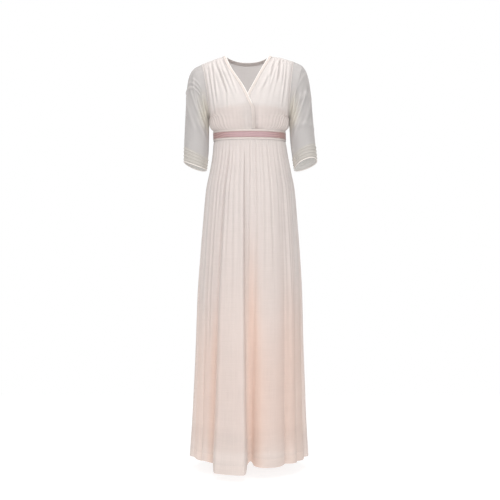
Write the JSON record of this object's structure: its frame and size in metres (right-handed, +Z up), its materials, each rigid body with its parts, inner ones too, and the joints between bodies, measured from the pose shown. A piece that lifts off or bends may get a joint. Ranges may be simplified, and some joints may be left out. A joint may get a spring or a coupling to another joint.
{
  "type": "empire-line dress",
  "caption": "Long high-waisted dress of sheer gathered cotton over a slip, with a crossed V neck, elbow sleeves, and a ribboned band under the bust.",
  "frame": {"origin": "where the shoulders hold the dress up, midway between the neck ends of its two shoulder seams", "axes": "+Z up, -Y is the front of the dress, +X is the wearer's left"},
  "size_m": [0.4756, 0.4285, 1.4513],
  "materials": {
    "sheer_cotton": "sheer cotton gauze, matte",
    "sleeve_cotton": "single layer of the sheer cotton, matte",
    "cream_binding": "cream cotton binding, matte",
    "pink_ribbon": "dusty pink silk ribbon, soft sheen",
    "peach_slip": "thin peach silk, soft sheen"
  },
  "bodies": {
    "root": {"bodice_front_left": "sheer_cotton", "bodice_front_right": "sheer_cotton", "bodice_back": "sheer_cotton", "sleeve_left": "sleeve_cotton", "sleeve_right": "sleeve_cotton", "cuff_piping_left": "cream_binding", "cuff_piping_right": "cream_binding", "neck_binding_left": "cream_binding", "neck_binding_right": "cream_binding", "neck_binding_back": "cream_binding", "waistband": "cream_binding", "waist_ribbon": "pink_ribbon", "skirt_front": "sheer_cotton", "skirt_back": "sheer_cotton", "slip": "peach_slip"}
  },
  "joints": []
}
